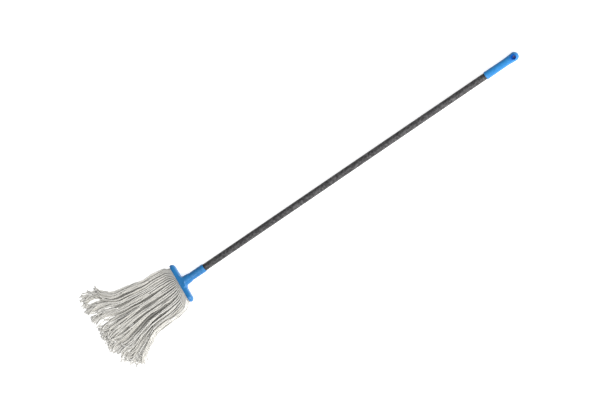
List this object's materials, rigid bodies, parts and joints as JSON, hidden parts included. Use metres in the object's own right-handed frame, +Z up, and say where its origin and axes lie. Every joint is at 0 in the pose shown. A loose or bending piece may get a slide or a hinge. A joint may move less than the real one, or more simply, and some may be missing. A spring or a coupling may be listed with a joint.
{
  "type": "string mop",
  "caption": "Cotton string mop lying flat: yarn fringe clamped in a moulded header, coated steel handle screwed into its hub, and a grip with a hanging eye.",
  "frame": {"origin": "middle of the mop's base on the floor, lying flat", "axes": "+X along the handle towards the hanging eye, +Y across the header, +Z up"},
  "size_m": [1.5498, 0.302, 0.0306],
  "materials": {
    "moulded_blue": "satin moulded polypropylene, mid blue",
    "keeper_plastic": "plain moulded polypropylene, darker blue",
    "screw_zinc": "zinc plated",
    "tube_steel": "bare rolled steel",
    "tube_skin": "dark grey plastic coating with fine cross ribs",
    "cotton_yarn": "plied cotton yarn, off-white"
  },
  "bodies": {
    "head": {"header_cap": "moulded_blue", "keeper_bar": "keeper_plastic", "keeper_screw_left": "screw_zinc", "keeper_screw_right": "screw_zinc", "yarn_fold": "cotton_yarn"},
    "fringe": {"yarn_lock_upper_1": "cotton_yarn", "yarn_lock_upper_2": "cotton_yarn", "yarn_lock_upper_3": "cotton_yarn", "yarn_lock_upper_4": "cotton_yarn", "yarn_lock_upper_5": "cotton_yarn", "yarn_lock_upper_6": "cotton_yarn", "yarn_lock_upper_7": "cotton_yarn", "yarn_lock_upper_8": "cotton_yarn", "yarn_lock_under_1": "cotton_yarn", "yarn_lock_under_2": "cotton_yarn", "yarn_lock_under_3": "cotton_yarn", "yarn_lock_under_4": "cotton_yarn", "yarn_lock_under_5": "cotton_yarn", "yarn_lock_under_6": "cotton_yarn", "yarn_lock_under_7": "cotton_yarn"},
    "adapter": {"thread_adapter": "moulded_blue"},
    "handle": {"steel_tube": "tube_steel", "tube_coating": "tube_skin", "grip_cap": "moulded_blue"}
  },
  "joints": [
    {"name": "fringe_swing", "type": "hinge", "parent": "head", "child": "fringe", "pos_m": [-0.50135, 0, 0.0153], "axis": [0, 1, 0], "range_deg": [-80, 80]},
    {"name": "handle_draw", "type": "slide", "parent": "head", "child": "adapter", "axis": [1, 0, 0], "range_m": [0, 0.018]},
    {"name": "handle_turn", "type": "hinge", "parent": "adapter", "child": "handle", "pos_m": [-0.44385, 0, 0.0153], "axis": [1, 0, 0], "range_deg": [0, 1440]}
  ],
  "couplings": [
    {"joint": "handle_turn", "follows": "handle_draw", "rad_per_m": 1396.3}
  ]
}
